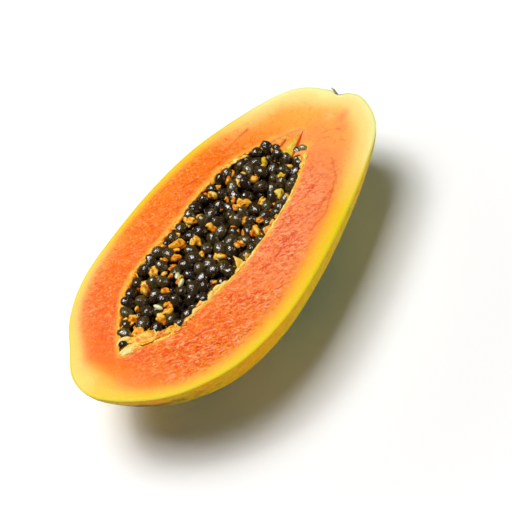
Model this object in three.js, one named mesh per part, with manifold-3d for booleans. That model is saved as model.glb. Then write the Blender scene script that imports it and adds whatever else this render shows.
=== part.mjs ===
// A ripe papaya half: cut lengthwise, lying on its skin, cut face up, its seeds still in the cavity.
// Millimetres, +Z up. +X runs from the blossom tip to the stem end, +Y to the far side.
// The origin is on the ground, under the middle of the half.
// Shapes are drawn with the cut face at z = 0, and the whole group is then lifted onto the ground.

import * as THREE from 'three';
import Module from 'manifold-3d';
import * as BufferGeometryUtils from 'three/addons/utils/BufferGeometryUtils.js';

const wasm = await Module();
wasm.setup();

// ---------------------------------------------------------------- driving dimensions

const REST_DEPTH = 48.2;         // from the cut face down to the flat spot that the half rests on
const SECTION_DEPTH = 51;        // depth of the widest section, before the flat spot takes its lowest part
const TIP_THINNING = 0.38;       // how much shallower the half is at the blossom tip
const LOBE_HEIGHT = 1.1;         // the five faint lengthwise lobes of the skin
const STEM_SCAR_RADIUS = 6;
const STEM_SCAR_DEPTH = 2.2;

const CAVITY_DEPTH = 25;
const GAP = 0.35;                // clearance between bodies that touch
const LINING_THICKNESS = 0.9;
const LINING_RISE = 0.9;         // the torn rim of the lining above the cut face, on the near side
const LINING_RISE_ALL_ROUND = 0.2;
const LINING_RISE_FAR = 0.2;     // share of the torn rim's rise that the far side keeps
const LINING_TEARS = [97, 41];   // two uneven counts of tears round the rim, which never line up
const LINING_TEAR_DEPTH = 0.4;   // how deep the tears are, as a share of the rise

const SEED_RADIUS = 3.05;
const SEED_CROWN = 3.5;          // from a seed's middle to its free end
const SEED_ROOT = 4.3;           // from a seed's middle to its rooted end
const SEED_LEAN = { least: 0.45, most: 1.45 };   // from upright, in radians
const SEED_SPACING = 5.5;        // the least distance between the middles of two seeds of the top layer
const WALL_STEPS = 240;          // places that are tried along the wall
const SEED_THROWS = 4000;        // places that are tried all over
const SEED_WALL_SHARE = 0.3;     // how much of its radius a seed's middle keeps from the lining
const SEED_LEVEL = -2.4;         // middle of the top layer of seeds, from the cut face
const SEED_LEVEL_SPREAD = 1.2;
const BED_LEVEL = -3.9;          // top of the packed seeds below
const HEAP_TILT = 0.8;           // how much the heap of seeds is higher at its far edge than in its middle

const LUMP_LEVEL = -1.4;         // middle of the placenta's lumps, from the cut face
const LUMP_CLEARANCE = 0.9;      // from a lump to the middle of the nearest seeds
const STALK_RADIUS = 1.1;
const STALK_FOOT = 1.6;          // how much wider the stalk is where it leaves the wall
const LUMP_UNEVENNESS = 0.15;

// A lump from its stalk to its top: height from its middle and half width, as shares of its radius.
const LUMP_PROFILE = [
  { height: -0.6, reach: 0.85 },
  { height: 0.3, reach: 1 },
  { height: 0.8, reach: 0.6 },
  { height: 1, reach: 0 },
];

// Outline of the cut face: a point on the far side and one on the near side at each station,
// from the blossom tip to the stem end.
const FACE = {
  tip: [-111.3, 5],
  stem: [109.4, 1.5],
  stations: [
    { far: [-107.5, 17.5], near: [-108, -8] },
    { far: [-97, 27.8], near: [-97.5, -25] },
    { far: [-81, 41.2], near: [-83, -38.3] },
    { far: [-58, 50.4], near: [-60, -49.6] },
    { far: [-27, 53.9], near: [-29, -54.4] },
    { far: [6, 54.5], near: [4, -52.4] },
    { far: [38, 51.1], near: [38, -46.8] },
    { far: [68, 42.2], near: [70, -39.2] },
    { far: [93, 31.4], near: [97, -29.2] },
    { far: [104.6, 20], near: [111.2, -12] },
  ],
};
const FACE_HALF_WIDTH = 54.4;

// Outline of the seed cavity in the cut face.
const MOUTH = {
  tip: [-86, 3.9],
  stem: [77, 5],
  stations: [
    { far: [-78.4, 11.5], near: [-77, -1.5] },
    { far: [-64, 22], near: [-65, -10] },
    { far: [-42, 29.3], near: [-44, -14] },
    { far: [-15, 28.9], near: [-15, -18] },
    { far: [14, 29.4], near: [12, -17.4] },
    { far: [38, 27.2], near: [38, -14] },
    { far: [57, 18.8], near: [56, -8] },
    { far: [68, 12.4], near: [67, -1] },
  ],
};
const MOUTH_CENTRE = { x: -4, y: 6 };
const MOUTH_HALF = { x: 81, y: 23.5 };

// Soft lumps of placenta that stand up between the seeds.
const LUMPS = [
  { x: -71, y: 4, radius: 3 },
  { x: -66, y: 12, radius: 3 },
  { x: -59, y: 0, radius: 2.8 },
  { x: -51, y: 1, radius: 2.4 },
  { x: -49, y: 18, radius: 3.2 },
  { x: -45, y: 8, radius: 2.6 },
  { x: -39, y: 21, radius: 3 },
  { x: -36, y: 6, radius: 2.4 },
  { x: -26, y: 16, radius: 2.8 },
  { x: -19, y: 20, radius: 3.6 },
  { x: -12, y: 13, radius: 2.8 },
  { x: -14, y: -4, radius: 2.8 },
  { x: -3, y: 23, radius: 2.6 },
  { x: -1, y: 11, radius: 2.8 },
  { x: 8, y: -11, radius: 3.2 },
  { x: 10, y: -1, radius: 2.6 },
  { x: 17, y: 23, radius: 2.6 },
  { x: 20, y: 5, radius: 2.8 },
  { x: 26, y: -2, radius: 2.4 },
  { x: 34, y: -8, radius: 2.8 },
  { x: 44, y: -2, radius: 2.6 },
  { x: 48, y: 12, radius: 2.8 },
  { x: -81, y: 4.4, radius: 2.4 },
  { x: -77, y: 0.8, radius: 2.2 },
  { x: -76.6, y: 5.4, radius: 2.2 },
  { x: -71, y: -3.4, radius: 2.2 },
];

// The tongue of placenta that fills the stem end of the cavity.
const TONGUE = { from: { x: 57.5, y: 7.5 }, to: { x: 78, y: 5 }, halfWidth: 7.5, halfHeight: 9, top: 0.3 };

// Starting numbers of the seeded random draws.
const LUMP_DRAW = 11;
const PLACE_DRAW = 5;
const SEED_DRAW = 7;

const SLAB_WIDTH = 300;
const ABOVE_ALL = 6;             // a height above the cut face that clears seeds and placenta

// ---------------------------------------------------------------- helpers

// Seeded random numbers from 0 to 1, the same on every run.
function randomNumbers(seed) {
  let state = seed;
  return () => {
    state = (state * 1664525 + 1013904223) % 4294967296;
    return state / 4294967296;
  };
}

// The closed curve of an outline: from the tip along the far side, and back along the near side.
function outlineCurve(outline) {
  const far = outline.stations.map((station) => station.far);
  const near = outline.stations.map((station) => station.near).reverse();
  const points = [outline.tip, ...far, outline.stem, ...near];
  const vectors = points.map(([x, y]) => new THREE.Vector3(x, y, 0));
  return new THREE.CatmullRomCurve3(vectors, true, 'catmullrom');
}

// A closed body over rows of points. The first and last rows are single points, and the others
// are loops whose columns run clockwise as seen from the last row.
function loft(rows, columns, pointAt) {
  const positions = [...pointAt(0, 0)];
  for (let row = 1; row < rows; row++) {
    for (let column = 0; column < columns; column++) {
      positions.push(...pointAt(row, column));
    }
  }
  positions.push(...pointAt(rows, 0));
  const lastLoop = 1 + (rows - 2) * columns;
  const lastPoint = lastLoop + columns;
  const index = [];
  for (let column = 0; column < columns; column++) {
    const next = (column + 1) % columns;
    index.push(0, 1 + column, 1 + next);
    for (let here = 1; here < lastLoop; here += columns) {
      const above = here + columns;
      index.push(here + column, above + next, here + next);
      index.push(here + column, above + column, above + next);
    }
    index.push(lastPoint, lastLoop + next, lastLoop + column);
  }
  const geometry = new THREE.BufferGeometry();
  geometry.setAttribute('position', new THREE.Float32BufferAttribute(positions, 3));
  geometry.setIndex(index);
  return geometry;
}

function toSolid(geometry) {
  geometry.deleteAttribute('normal');
  geometry.deleteAttribute('uv');
  const merged = BufferGeometryUtils.mergeVertices(geometry);
  return new wasm.Manifold(new wasm.Mesh({
    numProp: 3,
    vertProperties: merged.attributes.position.array,
    triVerts: new Uint32Array(merged.index.array),
  }));
}

function toMesh(name, solid, color, roughness) {
  const { vertProperties, triVerts } = solid.getMesh();
  const geometry = new THREE.BufferGeometry();
  geometry.setAttribute('position', new THREE.BufferAttribute(vertProperties, 3));
  geometry.setIndex(new THREE.BufferAttribute(triVerts, 1));
  geometry.computeVertexNormals();
  const mesh = new THREE.Mesh(geometry, new THREE.MeshStandardMaterial({ color, roughness, metalness: 0 }));
  mesh.name = name;
  return mesh;
}

function joinAll(solids) {
  return solids.reduce((joined, solid) => joined.add(solid));
}

// The main body of a solid, without any loose scraps.
function largestBody(solid) {
  return solid.decompose().sort((a, b) => b.volume() - a.volume())[0];
}

// A block wider than the fruit, between two heights, that may slope up to the far side.
function slab(bottom, top, slope = 0) {
  const block = new THREE.BoxGeometry(SLAB_WIDTH, SLAB_WIDTH, top - bottom);
  block.translate(0, 0, (bottom + top) / 2).rotateX(slope).translate(0, MOUTH_CENTRE.y, 0);
  return toSolid(block);
}

// ---------------------------------------------------------------- flesh and skin

// The stem scar: a shallow dish pressed into the stem end.
function pressScar(face, point) {
  const distance = point.distanceTo(face.getPoint(0.5)) / STEM_SCAR_RADIUS;
  const dish = distance < 1 ? (1 + Math.cos(Math.PI * distance)) / 2 : 0;
  point.x -= STEM_SCAR_DEPTH * dish;
  return point;
}

// A point of the skin: u runs from tip to stem end, and the angle from the far edge of the cut
// face, under the fruit, to the near edge.
function skinPoint(face, u, angle) {
  const far = face.getPoint(u / 2);
  const near = face.getPoint(1 - u / 2);
  const middle = far.clone().add(near).multiplyScalar(0.5);
  const half = far.clone().sub(near).multiplyScalar(0.5);
  const lobes = Math.cos(5 * angle - 0.5) * Math.sin(angle) * Math.sin(Math.PI * u);
  const swell = 1 + (LOBE_HEIGHT / FACE_HALF_WIDTH) * lobes;
  const depth = half.length() * (SECTION_DEPTH / FACE_HALF_WIDTH) * (1 - TIP_THINNING * (1 - u) ** 3);
  const point = middle.addScaledVector(half, Math.cos(angle) * swell);
  point.z = -depth * Math.sin(angle) * swell;
  return pressScar(face, point);
}

function fleshSolid() {
  const face = outlineCurve(FACE);
  const rows = 4 * (FACE.stations.length + 1);
  const columns = 23;
  const body = loft(rows, columns, (row, column) => (
    skinPoint(face, row / rows, Math.PI * column / (columns - 1)).toArray()
  ));
  const underside = slab(-2 * REST_DEPTH, -REST_DEPTH);
  return toSolid(body).subtract(cavityBowl(0)).subtract(underside);
}

// ---------------------------------------------------------------- cavity

// The bowl of the cavity drawn in from its wall by an inset, and closed above the cut face.
function cavityBowl(inset, topAt = () => ABOVE_ALL) {
  const mouth = outlineCurve(MOUTH);
  const wallRows = 6;
  const columns = 36;
  const shrink = { x: 1 - inset / MOUTH_HALF.x, y: 1 - inset / MOUTH_HALF.y };
  const rows = wallRows + 2;
  return toSolid(loft(rows, columns, (row, column) => {
    const turn = column / columns;
    const edge = mouth.getPoint(turn);
    const climb = Math.PI / 2 * Math.min(row / wallRows, 1);
    const reach = row === rows ? 0 : Math.sin(climb);
    return [
      MOUTH_CENTRE.x + (edge.x - MOUTH_CENTRE.x) * shrink.x * reach,
      MOUTH_CENTRE.y + (edge.y - MOUTH_CENTRE.y) * shrink.y * reach,
      row > wallRows ? topAt(turn) : -(CAVITY_DEPTH - inset) * Math.cos(climb),
    ];
  }));
}

// Height of the lining's torn rim: ragged, and highest along the near side.
function rimHeight(turn) {
  const nearSide = Math.max(0, -Math.sin(2 * Math.PI * turn));
  const tear = Math.sin(LINING_TEARS[0] * turn) * Math.sin(LINING_TEARS[1] * turn + 1);
  const ragged = 1 - LINING_TEAR_DEPTH * (1 - tear);
  const share = LINING_RISE_FAR + (1 - LINING_RISE_FAR) * nearSide;
  return LINING_RISE_ALL_ROUND + LINING_RISE * share * ragged;
}

// How much the heap of seeds stands above its middle level at a place across the cavity.
function heapRise(y) {
  return HEAP_TILT * (y - MOUTH_CENTRE.y) / MOUTH_HALF.y;
}

// The placenta's lumps on their stalks, grown by a clearance where they are to be cut from the seeds.
function lumpsSolid(clearance) {
  const random = randomNumbers(LUMP_DRAW);
  const columns = 6;
  return joinAll(LUMPS.map(({ x, y, radius }) => {
    const stalk = STALK_RADIUS + clearance;
    const bulge = radius + clearance;
    const level = LUMP_LEVEL + heapRise(y);
    const profile = [
      { z: -CAVITY_DEPTH, radius: 0 },
      { z: -CAVITY_DEPTH, radius: STALK_FOOT * stalk },
      { z: level - 2 * bulge, radius: stalk },
      ...LUMP_PROFILE.map(({ height, reach }) => ({ z: level + height * bulge, radius: reach * bulge })),
    ];
    return toSolid(loft(profile.length - 1, columns, (row, column) => {
      const angle = -2 * Math.PI * column / columns;
      const reach = profile[row].radius * (1 + LUMP_UNEVENNESS * (2 * random() - 1));
      return [x + reach * Math.cos(angle), y + reach * Math.sin(angle), profile[row].z];
    }));
  }));
}

function tongueSolid(clearance) {
  const { from, to } = TONGUE;
  const rows = 8;
  const columns = 8;
  return toSolid(loft(rows, columns, (row, column) => {
    const along = row / rows;
    const girth = Math.sin(Math.PI * along) ** 0.7;
    const angle = -2 * Math.PI * column / columns;
    const middle = TONGUE.top - TONGUE.halfHeight;
    return [
      THREE.MathUtils.lerp(from.x - clearance, to.x, along),
      THREE.MathUtils.lerp(from.y, to.y, along) + (TONGUE.halfWidth + clearance) * girth * Math.cos(angle),
      middle + (TONGUE.halfHeight + clearance) * girth * Math.sin(angle),
    ];
  }));
}

function placentaSolid() {
  const lining = cavityBowl(GAP, rimHeight).subtract(cavityBowl(GAP + LINING_THICKNESS));
  const standing = lumpsSolid(0).add(tongueSolid(0)).intersect(cavityBowl(GAP));
  return largestBody(lining.add(standing));
}

// ---------------------------------------------------------------- seeds

// Whether a place lies inside the mouth drawn in by an inset.
function insideMouth(outline, x, y, inset) {
  const px = MOUTH_CENTRE.x + (x - MOUTH_CENTRE.x) / (1 - inset / MOUTH_HALF.x);
  const py = MOUTH_CENTRE.y + (y - MOUTH_CENTRE.y) / (1 - inset / MOUTH_HALF.y);
  let inside = false;
  outline.forEach((a, i) => {
    const b = outline[(i + 1) % outline.length];
    if ((a.y > py) !== (b.y > py) && px < a.x + (b.x - a.x) * (py - a.y) / (b.y - a.y)) {
      inside = !inside;
    }
  });
  return inside;
}

function clearOfPlacenta(x, y) {
  const clearOfLumps = LUMPS.every((lump) => Math.hypot(lump.x - x, lump.y - y) > lump.radius + LUMP_CLEARANCE);
  return clearOfLumps && (x < TONGUE.from.x || Math.abs(y - TONGUE.from.y) > TONGUE.halfWidth + LUMP_CLEARANCE);
}

// The top layer: a row of seeds along the wall, then others wherever there is room, clear of the placenta.
function seedPlaces() {
  const random = randomNumbers(PLACE_DRAW);
  const mouth = outlineCurve(MOUTH);
  const outline = mouth.getPoints(80);
  const wallClearance = GAP + LINING_THICKNESS + GAP + SEED_WALL_SHARE * SEED_RADIUS;
  const places = [];
  const tryPlace = (x, y) => {
    const apart = places.every((other) => Math.hypot(other.x - x, other.y - y) > SEED_SPACING);
    if (apart && insideMouth(outline, x, y, wallClearance) && clearOfPlacenta(x, y)) {
      places.push({ x, y });
    }
  };
  for (let step = 0; step < WALL_STEPS; step++) {
    const edge = mouth.getPoint(step / WALL_STEPS);
    const inset = wallClearance + random();
    const x = MOUTH_CENTRE.x + (edge.x - MOUTH_CENTRE.x) * (1 - inset / MOUTH_HALF.x);
    const y = MOUTH_CENTRE.y + (edge.y - MOUTH_CENTRE.y) * (1 - inset / MOUTH_HALF.y);
    tryPlace(x, y);
  }
  for (let count = 0; count < SEED_THROWS; count++) {
    const x = MOUTH_CENTRE.x + MOUTH_HALF.x * (2 * random() - 1);
    const y = MOUTH_CENTRE.y + MOUTH_HALF.y * (2 * random() - 1);
    tryPlace(x, y);
  }
  return places;
}

// One seed, egg shaped, its root end drawn out.
function seedSolid({ x, y }, random) {
  const rows = 4;
  const columns = 6;
  const seed = loft(rows, columns, (row, column) => {
    const climb = Math.PI * row / rows;
    const angle = -2 * Math.PI * column / columns;
    const reach = SEED_RADIUS * Math.sin(climb);
    const length = row < rows / 2 ? SEED_ROOT : SEED_CROWN;
    return [reach * Math.cos(angle), reach * Math.sin(angle), -length * Math.cos(climb)];
  });
  const lean = THREE.MathUtils.lerp(SEED_LEAN.least, SEED_LEAN.most, random());
  const heading = 2 * Math.PI * random();
  const level = SEED_LEVEL + heapRise(y) + SEED_LEVEL_SPREAD * (2 * random() - 1);
  seed.rotateX(lean).rotateZ(heading).translate(x, y, level);
  return toSolid(seed);
}

function seedsSolid() {
  const random = randomNumbers(SEED_DRAW);
  const inset = GAP + LINING_THICKNESS + GAP;
  const bed = cavityBowl(inset).subtract(slab(BED_LEVEL, 2 * ABOVE_ALL, Math.atan2(HEAP_TILT, MOUTH_HALF.y)));
  const seeds = joinAll(seedPlaces().map((place) => seedSolid(place, random)));
  const heap = bed.add(seeds.intersect(cavityBowl(inset)));
  return largestBody(heap.subtract(lumpsSolid(GAP)).subtract(tongueSolid(GAP)));
}

// ---------------------------------------------------------------- the half

const papaya = new THREE.Group();
papaya.add(
  toMesh('flesh_half', fleshSolid(), 0xf08035, 0.45),
  toMesh('placenta', placentaSolid(), 0xf2b441, 0.4),
  toMesh('seeds', seedsSolid(), 0x1e1f18, 0.25),
);

const box = new THREE.Box3().setFromObject(papaya);
const middle = box.getCenter(new THREE.Vector3());
papaya.position.set(-middle.x, -middle.y, -box.min.z);

export default papaya;
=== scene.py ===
import math

import bmesh
import bpy
import numpy as np
from mathutils import Matrix, Vector


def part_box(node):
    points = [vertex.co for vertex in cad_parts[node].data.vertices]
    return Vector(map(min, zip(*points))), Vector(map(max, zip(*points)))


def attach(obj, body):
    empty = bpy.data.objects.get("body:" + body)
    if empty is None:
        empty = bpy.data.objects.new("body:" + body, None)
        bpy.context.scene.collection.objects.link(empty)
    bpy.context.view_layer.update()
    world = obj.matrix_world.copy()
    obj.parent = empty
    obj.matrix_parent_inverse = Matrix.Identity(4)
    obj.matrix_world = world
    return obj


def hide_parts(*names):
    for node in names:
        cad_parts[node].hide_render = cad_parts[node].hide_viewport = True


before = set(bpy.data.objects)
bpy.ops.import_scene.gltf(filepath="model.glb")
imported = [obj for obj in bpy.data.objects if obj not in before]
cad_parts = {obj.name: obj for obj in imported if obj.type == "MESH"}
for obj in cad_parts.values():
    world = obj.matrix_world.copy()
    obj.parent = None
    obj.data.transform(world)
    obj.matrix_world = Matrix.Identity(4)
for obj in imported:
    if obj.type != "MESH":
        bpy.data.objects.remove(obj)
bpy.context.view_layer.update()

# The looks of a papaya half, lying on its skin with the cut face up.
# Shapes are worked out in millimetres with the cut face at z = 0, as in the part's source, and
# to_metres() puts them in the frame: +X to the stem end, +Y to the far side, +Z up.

CUT_FACE_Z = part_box("flesh_half")[1].z

# ---------------- dimensions, mm

REST_DEPTH = 48.2  # down to the flat spot that the half rests on
SECTION_DEPTH = 51.0  # of the widest section, before the flat spot takes its lowest part
TIP_THINNING = 0.38  # how much shallower the half is at the blossom tip
LOBE_COUNT = 5
LOBE_TURN = 0.5  # in radians, how far the lobes are turned round the fruit
LOBE_HEIGHT = 1.1
STEM_SCAR_RADIUS = 6.0
STEM_SCAR_DEPTH = 2.2
FACE_HALF_WIDTH = 54.4
CAVITY_DEPTH = 25.0
GAP = 0.35  # between flesh, lining and seeds
LINING_THICKNESS = 0.9

SEED_RADIUS = 3.05
SEED_LEANS = (0.45, 1.45)  # the least and the most that a seed leans from upright
SEED_SPACING = 5.5  # the least between the middles of two seeds of the top layer
WALL_STEPS = 240  # places that are tried along the wall
SEED_THROWS = 4000  # places that are tried all over
SEED_WALL_SHARE = 0.3  # how much of its radius a seed's middle keeps from the lining
SEED_LEVEL = -2.4  # middle of the top layer of seeds, from the cut face
SEED_LEVEL_SPREAD = 1.2
LUMP_LEVEL = -1.4  # middle of the placenta's lumps, from the cut face
LUMP_CLEARANCE = 0.9  # from a lump to the middle of the nearest seeds
HEAP_TILT = 0.8  # how much the heap of seeds is higher at its far edge than in its middle
LINING_RISE = 0.9  # the torn rim of the lining above the cut face, on the near side
LINING_RISE_FAR = 0.2  # share of that rise that the far side keeps

# Outlines: tip, stem end, and a far and a near point at each station between them.
FACE = {
    "tip": (-111.3, 5), "stem": (109.4, 1.5),
    "far": [(-107.5, 17.5), (-97, 27.8), (-81, 41.2), (-58, 50.4), (-27, 53.9),
            (6, 54.5), (38, 51.1), (68, 42.2), (93, 31.4), (104.6, 20)],
    "near": [(-108, -8), (-97.5, -25), (-83, -38.3), (-60, -49.6), (-29, -54.4),
             (4, -52.4), (38, -46.8), (70, -39.2), (97, -29.2), (111.2, -12)],
}
MOUTH = {
    "tip": (-86, 3.9), "stem": (77, 5),
    "far": [(-78.4, 11.5), (-64, 22), (-42, 29.3), (-15, 28.9), (14, 29.4), (38, 27.2),
            (57, 18.8), (68, 12.4)],
    "near": [(-77, -1.5), (-65, -10), (-44, -14), (-15, -18), (12, -17.4), (38, -14),
             (56, -8), (67, -1)],
}
MOUTH_CENTRE = np.array([-4.0, 6.0])
MOUTH_HALF = np.array([81.0, 23.5])

# Placenta lumps between the seeds: x, y, radius.
LUMPS = [
    (-71, 4, 3), (-66, 12, 3), (-59, 0, 2.8), (-51, 1, 2.4), (-49, 18, 3.2), (-45, 8, 2.6),
    (-39, 21, 3), (-36, 6, 2.4), (-26, 16, 2.8), (-19, 20, 3.6), (-12, 13, 2.8),
    (-14, -4, 2.8), (-3, 23, 2.6), (-1, 11, 2.8), (8, -11, 3.2), (10, -1, 2.6),
    (17, 23, 2.6), (20, 5, 2.8), (26, -2, 2.4), (34, -8, 2.8), (44, -2, 2.6), (48, 12, 2.8),
    (-81, 4.4, 2.4), (-77, 0.8, 2.2), (-76.6, 5.4, 2.2), (-71, -3.4, 2.2),
]
TONGUE_START = np.array([57.5, 7.5])
TONGUE_HALF_WIDTH = 7.5

# Seeds that lie by the tongue: x, y, z and how light their coat is.
TONGUE_SEEDS = [(59.5, 11.4, -1.2, 0.3), (56.0, 2.3, -1.0, 0.4), (58.8, -3.6, -1.6, 0.7),
                (65.4, -2.0, -1.0, 1.2)]

# Pale seeds that never filled: x, y, z, length.
PALE_SEEDS = [(-55.3, 4.5, 0.2, 5.2), (-35, 8, -0.6, 4.4), (-37.5, 3.6, -0.6, 5.0),
              (0.5, 16.5, -0.4, 4.6), (-48, -0.4, -0.8, 3.8), (27, 25.5, -1.6, 5.0)]

CAMERA_PLACE = (-239.2, -262.9, 436.3)  # above the cut face
CAMERA_TARGET = (-6.6, -21.0, 0.0)
CAMERA_ROLL = math.radians(-14.6)
CAMERA_SENSOR = 36.0  # width, mm
CAMERA_LENS = 77.34  # mm

# The cut grain: its direction from +X, how much longer than wide its strokes are, and their width.
GRAIN_ANGLE = math.radians(-34)
GRAIN_STRETCH = 2.4
GRAIN_WIDTH = 1.25

FIT = 0.9994  # draws the finer outline in, so that it stays inside the part's box

# Starting numbers of the seeded random draws. The first three are the part's source's own.
PLACE_DRAW = 5
SEED_DRAW = 7
LUMP_DRAW = 11
LOOK_DRAW = 8
FIBRE_DRAW = 13
SCRAP_DRAW = 17

# ---------------- numbers


def random_numbers(seed):
    """The same seeded draws as the part's source, from 0 to 1."""
    state = seed
    while True:
        state = (state * 1664525 + 1013904223) % 4294967296
        yield state / 4294967296


HASH_FACTORS = (73856093, 19349663, 83492791)
HASH_SEED_FACTOR = 40503
HASH_MIXER = 1274126177


def noise(points, size, seed):
    """Smooth noise from -1 to 1 at rows of points, with cells of a size in mm."""
    points = np.asarray(points, float) / size + 1000.0
    if points.shape[1] == 2:
        points = np.column_stack([points, np.full(len(points), 0.5)])
    cell = np.floor(points).astype(np.int64)
    part = points - cell
    fade = part * part * (3 - 2 * part)
    total = np.zeros(len(points))
    for corner in np.ndindex(2, 2, 2):
        key = (cell + corner) * HASH_FACTORS
        mixed = key[:, 0] ^ key[:, 1] ^ key[:, 2] ^ (seed * HASH_SEED_FACTOR)
        mixed = (mixed ^ (mixed >> 13)) * HASH_MIXER & 0x7FFFFFFF
        value = ((mixed ^ (mixed >> 16)) & 0xFFFF) / 32767.5 - 1
        total += value * np.prod(np.where(corner, fade, 1 - fade), axis=1)
    return total


def rough(points, layers):
    """A sum of noises, each layer given as its height, its size and its seed."""
    return sum(height * noise(points, size, seed) for height, size, seed in layers)


def unit_rows(rows):
    """Rows of numbers, each scaled to a length of 1."""
    return rows / np.linalg.norm(rows, axis=1)[:, None]


def ease(low, high, value):
    """0 up to a low value, 1 from a high one on, and a smooth rise between them."""
    step = np.clip((value - low) / (high - low), 0, 1)
    return step * step * (3 - 2 * step)


def outline_points(outline, turns):
    """Points of a closed outline at turns from 0, the tip, along the far side and back to 1."""
    far, near = outline["far"], outline["near"][::-1]
    points = np.array([outline["tip"], *far, outline["stem"], *near], float)
    count = len(points)
    place = (np.asarray(turns, float) % 1.0) * count
    index = np.floor(place).astype(int)
    w = (place - index)[:, None]
    before, start, end, after = (points[(index + step) % count] for step in (-1, 0, 1, 2))
    leave = (end - before) / 2
    arrive = (after - start) / 2
    cubic = 2 * (start - end) + leave + arrive
    square = 3 * (end - start) - 2 * leave - arrive
    return start + w * (leave + w * (square + w * cubic))


def even_steps(count):
    """Values of u from tip to stem end that are evenly spaced along the fruit's edge."""
    fine = np.linspace(0, 1, FINE_STEPS)
    steps = 0
    for turns in (fine / 2, 1 - fine / 2):
        steps = steps + np.linalg.norm(np.diff(outline_points(FACE, turns), axis=0), axis=1)
    travelled = np.concatenate([[0], np.cumsum(steps)])
    return np.interp(np.linspace(0, travelled[-1], count + 1), travelled, fine)


def drawn_in(edge, inset):
    """Points of the cavity's edge, drawn in towards its middle by an inset."""
    return MOUTH_CENTRE + (edge - MOUTH_CENTRE) * (1 - inset / MOUTH_HALF)


MOUTH_TEARS = [(0.5, 7, 20), (0.45, 3.2, 21), (0.25, 1.3, 22)]


def mouth_ring(turns, inset=0.0):
    """The torn edge of the cavity, drawn in by an inset."""
    edge = outline_points(MOUTH, turns)
    away = unit_rows(edge - MOUTH_CENTRE)
    return drawn_in(edge + away * rough(edge, MOUTH_TEARS)[:, None], inset)


def heap_rise(y):
    """How much the heap of seeds stands above its middle level at a place across the cavity."""
    return HEAP_TILT * (y - MOUTH_CENTRE[1]) / MOUTH_HALF[1]


FINE_STEPS = 4001  # points along an outline, where it is measured
FACE_SAMPLES = outline_points(FACE, np.linspace(0, 1, FINE_STEPS))
FACE_MIDDLE = (FACE_SAMPLES.min(0) + FACE_SAMPLES.max(0)) / 2
MOUTH_OUTLINE = outline_points(MOUTH, np.linspace(0, 1, 81))


def to_metres(points):
    """Millimetres from the cut face, to metres in the frame."""
    points = np.asarray(points, float)
    moved = (points - np.array([*FACE_MIDDLE, 0.0])) * (FIT, FIT, 1)
    return moved / 1000 + np.array([0, 0, CUT_FACE_Z])

# ---------------- meshes


def add_object(name, data):
    """A new object in the scene for a mesh, a light or a camera."""
    made = bpy.data.objects.new(name, data)
    bpy.context.scene.collection.objects.link(made)
    return made


class Shape:
    """Vertices, faces and vertex values gathered from several bodies, made into one piece."""

    def __init__(self, *values):
        self.points = []
        self.faces = []
        self.values = {name: [] for name in values}
        self.count = 0

    def add(self, points, faces, **values):
        points = np.asarray(points, float)
        self.faces += [tuple(corner + self.count for corner in face) for face in faces]
        self.points.append(points)
        self.count += len(points)
        for name, gathered in self.values.items():
            gathered.append(np.broadcast_to(values.get(name, 0.0), len(points)))

    def make(self, name, materials, face_material=None, sharp=math.radians(60)):
        mesh = bpy.data.meshes.new(name)
        mesh.from_pydata(to_metres(np.concatenate(self.points)).tolist(), [], self.faces)
        for value, gathered in self.values.items():
            layer = mesh.attributes.new(value, "FLOAT", "POINT")
            layer.data.foreach_set("value", np.concatenate(gathered).astype(np.float32))
        for material in materials:
            mesh.materials.append(material)
        if face_material is not None:
            mesh.polygons.foreach_set("material_index", face_material)
        outward(mesh)
        mesh.shade_smooth()
        mesh.set_sharp_from_angle(angle=sharp)
        return add_object(name, mesh)


def outward(mesh):
    """Turns every body's faces outward."""
    work = bmesh.new()
    work.from_mesh(mesh)
    bmesh.ops.recalc_face_normals(work, faces=work.faces)
    work.to_mesh(mesh)
    work.free()


def ring_faces(first, columns, rows):
    """Quads over rows of closed rings, from vertex first on."""
    faces = []
    for row in range(rows - 1):
        low = first + row * columns
        high = low + columns
        for column in range(columns):
            next_column = (column + 1) % columns
            faces.append((low + column, low + next_column, high + next_column, high + column))
    return faces


def fan_faces(centre, first, columns):
    return [(centre, first + column, first + (column + 1) % columns) for column in range(columns)]


def closed_rings(rings):
    """A closed body over rings of points, with its first and last ring drawn to their middles."""
    rings = np.asarray(rings, float)
    rows, columns, _ = rings.shape
    points = np.concatenate([rings.reshape(-1, 3), [rings[0].mean(0)], [rings[-1].mean(0)]])
    faces = ring_faces(0, columns, rows)
    faces += fan_faces(rows * columns, 0, columns)
    faces += fan_faces(rows * columns + 1, (rows - 1) * columns, columns)
    return points, faces


def ball(rows, columns):
    """A unit ball as rings between two poles."""
    points = [(0, 0, -1)]
    for row in range(1, rows):
        climb = math.pi * row / rows
        reach = math.sin(climb)
        for column in range(columns):
            angle = 2 * math.pi * column / columns
            points.append((reach * math.cos(angle), reach * math.sin(angle), -math.cos(climb)))
    points.append((0, 0, 1))
    faces = ring_faces(1, columns, rows - 1)
    faces += fan_faces(0, 1, columns)
    faces += fan_faces(len(points) - 1, 1 + (rows - 2) * columns, columns)
    return np.array(points), faces


FINE_BALL = ball(14, 20)
COARSE_BALL = ball(10, 14)
TUBE_SIDES = 6
TUBE_UP = (0.31, 0.17, 0.93)  # a direction that no tube runs along


def tube(path, radii):
    """A tapered tube along a path of points."""
    path = np.asarray(path, float)
    heading = unit_rows(np.gradient(path, axis=0))
    across = unit_rows(np.cross(heading, TUBE_UP))
    up = np.cross(heading, across)
    angles = np.linspace(0, 2 * math.pi, TUBE_SIDES, endpoint=False)[None, :, None]
    spokes = np.cos(angles) * across[:, None] + np.sin(angles) * up[:, None]
    return closed_rings(path[:, None] + spokes * np.asarray(radii, float)[:, None, None])

# ---------------- node materials


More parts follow.
